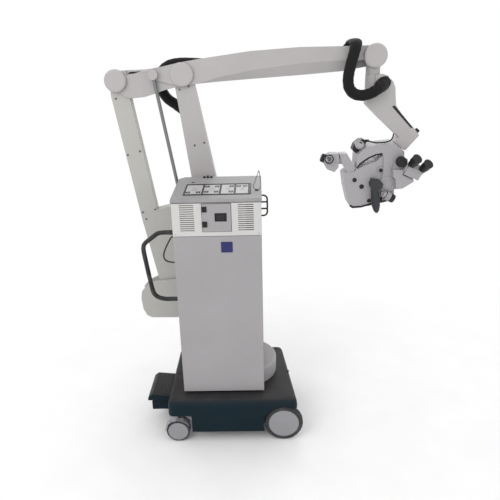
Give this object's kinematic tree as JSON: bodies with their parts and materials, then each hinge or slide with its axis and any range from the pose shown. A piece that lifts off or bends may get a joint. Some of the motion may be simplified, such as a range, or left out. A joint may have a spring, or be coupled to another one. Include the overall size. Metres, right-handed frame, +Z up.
{
  "type": "surgical microscope on floor stand",
  "caption": "Operating microscope with binocular head carried by a counterbalanced double-parallelogram arm on a swivelling control cabinet and a wheeled base.",
  "frame": {"origin": "bottom centre of the bounding box, on the floor", "axes": "+Z up, the cabinet front and the eyepieces face -Y, the main arm reaches towards +X"},
  "size_m": [1.6488, 0.6528, 1.9862],
  "materials": {
    "iron": "satin",
    "shroud": "matte",
    "tyre": "matte",
    "fork": "satin",
    "column_paint": "satin",
    "console": "satin",
    "vent": "satin",
    "link_paint": "satin",
    "arm_paint": "satin",
    "head_paint": "satin",
    "steel": "brushed",
    "black_plastic": "satin",
    "housing": "satin",
    "grip": "matte",
    "foam": "matte",
    "sleeve": "woven",
    "lead": "satin"
  },
  "bodies": {
    "base": {"chassis": "iron", "base_shroud": "shroud"},
    "pedal": {"brake_pedal": "shroud"},
    "front_wheel": {"wheel_front": "tyre"},
    "rear_wheel": {"wheel_rear": "tyre"},
    "front_fork": {"castor_fork_front": "fork"},
    "front_castor": {"castor_wheels_front": "tyre"},
    "rear_fork": {"castor_fork_rear": "fork"},
    "rear_castor": {"castor_wheels_rear": "tyre"},
    "column": {"turret": "column_paint", "mast": "iron", "main_axle": "steel", "cabinet_shell": "column_paint", "front_panel": "column_paint", "vent_panel": "vent", "console_top": "console", "keypad_frame": "black_plastic", "power_supply": "housing", "fan_frame": "black_plastic", "push_handle": "foam", "cable_hook": "black_plastic", "mains_inlet": "black_plastic", "side_lead": "lead"},
    "door": {"lamp_door": "column_paint"},
    "latch": {"door_latch": "black_plastic"},
    "fan": {"fan_rotor": "black_plastic"},
    "lamps": {"lamp_carriage": "steel"},
    "switch": {"power_switch": "black_plastic"},
    "link": {"right_link": "link_paint", "hose_gland": "black_plastic", "hose_lower": "sleeve"},
    "lever": {"elbow_lever": "link_paint"},
    "rod": {"guide_rod": "steel"},
    "tie": {"tie_rod": "steel"},
    "arm": {"arm_beam": "arm_paint", "hose_upper": "sleeve", "hose_front": "sleeve"},
    "tail": {"tail_pivot": "link_paint"},
    "balance_link": {"left_link": "link_paint"},
    "bar": {"lower_bar": "link_paint", "counterweight": "iron"},
    "bracket": {"end_bracket": "link_paint"},
    "shoulder": {"shoulder_arm": "arm_paint", "hose_shoulder": "sleeve", "head_lead": "lead"},
    "friction": {"friction_knob": "black_plastic"},
    "yoke": {"head_yoke": "arm_paint", "camera": "black_plastic"},
    "microscope": {"microscope_body": "head_paint", "zoom_tube": "steel", "binocular_base": "head_paint"},
    "objective": {"objective_ring": "black_plastic"},
    "focus": {"focus_knob": "black_plastic"},
    "pupil_knob": {"ipd_knob": "black_plastic"},
    "binocular": {"binocular_head": "head_paint"},
    "eye_left": {"eyepiece_left": "black_plastic"},
    "eye_right": {"eyepiece_right": "black_plastic"},
    "observer": {"observer_tube": "head_paint"},
    "grip_front": {"hand_grip_front": "grip"},
    "grip_rear": {"hand_grip_rear": "grip"}
  },
  "joints": [
    {"name": "brake_pedal_hinge", "type": "hinge", "parent": "base", "child": "pedal", "pos_m": [-0.56022, -0.0864, 0.184], "axis": [0, 1, 0], "range_deg": [-5, 0], "stiffness_Nm_per_rad": 4, "springref_deg": 17.19},
    {"name": "front_wheel_spin", "type": "hinge", "parent": "base", "child": "front_wheel", "pos_m": [0.05078, -0.3024, 0.1], "axis": [0, 1, 0], "continuous": true},
    {"name": "rear_wheel_spin", "type": "hinge", "parent": "base", "child": "rear_wheel", "pos_m": [-0.04522, 0.1836, 0.1], "axis": [0, 1, 0], "continuous": true},
    {"name": "front_castor_swivel", "type": "hinge", "parent": "base", "child": "front_fork", "pos_m": [-0.52522, -0.3004, 0.16], "axis": [0, 0, 1], "continuous": true},
    {"name": "front_castor_spin", "type": "hinge", "parent": "front_fork", "child": "front_castor", "pos_m": [-0.50522, -0.3004, 0.062], "axis": [0, 1, 0], "continuous": true},
    {"name": "rear_castor_swivel", "type": "hinge", "parent": "base", "child": "rear_fork", "pos_m": [-0.52522, 0.1676, 0.16], "axis": [0, 0, 1], "continuous": true},
    {"name": "rear_castor_spin", "type": "hinge", "parent": "rear_fork", "child": "rear_castor", "pos_m": [-0.50522, 0.1676, 0.062], "axis": [0, 1, 0], "continuous": true},
    {"name": "column_swivel", "type": "hinge", "parent": "base", "child": "column", "pos_m": [-0.16822, -0.0164, 0.26], "axis": [0, 0, 1], "range_deg": [-170, 170]},
    {"name": "lamp_door_hinge", "type": "hinge", "parent": "column", "child": "door", "pos_m": [-0.32522, -0.2616, 1.207], "axis": [0, 0, 1], "range_deg": [-110, 0]},
    {"name": "latch_slide", "type": "slide", "parent": "door", "child": "latch", "axis": [0, 1, 0], "range_m": [0, 0.003], "stiffness_N_per_m": 300, "springref_m": -0.001},
    {"name": "fan_spin", "type": "hinge", "parent": "column", "child": "fan", "pos_m": [-0.12022, -0.1964, 1.206], "axis": [0, 1, 0], "continuous": true},
    {"name": "lamp_changer", "type": "slide", "parent": "column", "child": "lamps", "axis": [1, 0, 0], "range_m": [0, 0.05]},
    {"name": "power_rocker", "type": "hinge", "parent": "column", "child": "switch", "pos_m": [-0.08422, 0.1126, 0.818], "axis": [1, 0, 0], "range_deg": [0, 6]},
    {"name": "link_swing", "type": "hinge", "parent": "column", "child": "link", "pos_m": [-0.24505, 0.2086, 0.61948], "axis": [0, 1, 0], "range_deg": [-8, 18]},
    {"name": "lever_level", "type": "hinge", "parent": "link", "child": "lever", "pos_m": [-0.43322, 0.2086, 1.835], "axis": [0, 1, 0], "range_deg": [-18, 8], "deforming": ["hose_lower"]},
    {"name": "rod_level", "type": "hinge", "parent": "lever", "child": "rod", "pos_m": [-0.57522, 0.1436, 1.837], "axis": [0, 1, 0], "range_deg": [-8, 18]},
    {"name": "arm_tilt", "type": "hinge", "parent": "lever", "child": "arm", "pos_m": [-0.43322, 0.2086, 1.835], "axis": [0, 1, 0], "range_deg": [-12, 14], "deforming": ["hose_upper"]},
    {"name": "tie_level", "type": "hinge", "parent": "lever", "child": "tie", "pos_m": [-0.43322, 0.2376, 1.861], "axis": [0, 1, 0], "range_deg": [-12, 14]},
    {"name": "tail_level", "type": "hinge", "parent": "arm", "child": "tail", "pos_m": [-0.76841, 0.2086, 1.81156], "axis": [0, 1, 0], "range_deg": [-14, 12]},
    {"name": "balance_swing", "type": "hinge", "parent": "tail", "child": "balance_link", "pos_m": [-0.76841, 0.2086, 1.81156], "axis": [0, 1, 0], "range_deg": [-8, 18]},
    {"name": "bar_tilt", "type": "hinge", "parent": "column", "child": "bar", "pos_m": [-0.24505, 0.2086, 0.61948], "axis": [0, 1, 0], "range_deg": [-12, 14]},
    {"name": "bracket_level", "type": "hinge", "parent": "arm", "child": "bracket", "pos_m": [0.53042, 0.2086, 1.90238], "axis": [0, 1, 0], "range_deg": [-14, 12], "deforming": ["hose_front"]},
    {"name": "shoulder_swivel", "type": "hinge", "parent": "bracket", "child": "shoulder", "pos_m": [0.53042, 0.2086, 1.83], "axis": [0, 0, 1], "range_deg": [-75, 75], "deforming": ["hose_shoulder"]},
    {"name": "friction_turn", "type": "hinge", "parent": "shoulder", "child": "friction", "pos_m": [0.75778, 0.1986, 1.509], "axis": [0.647, 0, 0.7625], "range_deg": [-150, 150]},
    {"name": "yoke_swivel", "type": "hinge", "parent": "shoulder", "child": "yoke", "pos_m": [0.67578, 0.2086, 1.455], "axis": [-0.647, 0, -0.7625], "range_deg": [-40, 40], "deforming": ["head_lead"]},
    {"name": "head_tilt", "type": "hinge", "parent": "yoke", "child": "microscope", "pos_m": [0.61978, 0.2086, 1.258], "axis": [0, 1, 0], "range_deg": [-18, 2]},
    {"name": "objective_turn", "type": "hinge", "parent": "microscope", "child": "objective", "pos_m": [0.53678, 0.2086, 1.145], "axis": [0.184, 0, -0.9829], "range_deg": [-60, 60]},
    {"name": "focus_turn", "type": "hinge", "parent": "microscope", "child": "focus", "pos_m": [0.61278, 0.1156, 1.206], "axis": [0.8772, 0, -0.4801], "range_deg": [-150, 150]},
    {"name": "pupil_turn", "type": "hinge", "parent": "microscope", "child": "pupil_knob", "pos_m": [0.67778, 0.0986, 1.384], "axis": [0, 1, 0], "range_deg": [-60, 60]},
    {"name": "binocular_tilt", "type": "hinge", "parent": "microscope", "child": "binocular", "pos_m": [0.70478, 0.1016, 1.354], "axis": [0.9061, 0, -0.4231], "range_deg": [-10, 20]},
    {"name": "observer_turn", "type": "hinge", "parent": "microscope", "child": "observer", "pos_m": [0.36378, 0.1786, 1.388], "axis": [-1, 0, 0], "range_deg": [-60, 60]},
    {"name": "grip_front_turn", "type": "hinge", "parent": "microscope", "child": "grip_front", "pos_m": [0.54978, 0.1416, 1.266], "axis": [0, 1, 0], "range_deg": [-5, 25]},
    {"name": "grip_rear_turn", "type": "hinge", "parent": "microscope", "child": "grip_rear", "pos_m": [0.54978, 0.2756, 1.266], "axis": [0, 1, 0], "range_deg": [-25, 25]},
    {"name": "eye_left_slide", "type": "slide", "parent": "binocular", "child": "eye_left", "axis": [0.9061, 0, -0.4231], "range_m": [-0.004, 0.004]},
    {"name": "eye_right_slide", "type": "slide", "parent": "binocular", "child": "eye_right", "axis": [0.9061, 0, -0.4231], "range_m": [-0.004, 0.004]}
  ],
  "couplings": [
    {"joint": "lever_level", "follows": "link_swing", "ratio": -1},
    {"joint": "rod_level", "follows": "link_swing", "ratio": 1},
    {"joint": "balance_swing", "follows": "link_swing", "ratio": 1},
    {"joint": "tie_level", "follows": "arm_tilt", "ratio": 1},
    {"joint": "tail_level", "follows": "arm_tilt", "ratio": -1},
    {"joint": "bracket_level", "follows": "arm_tilt", "ratio": -1},
    {"joint": "bar_tilt", "follows": "arm_tilt", "ratio": 1},
    {"joint": "eye_left_slide", "follows": "pupil_turn", "m_per_rad": -0.0036},
    {"joint": "eye_right_slide", "follows": "pupil_turn", "m_per_rad": 0.0036}
  ]
}
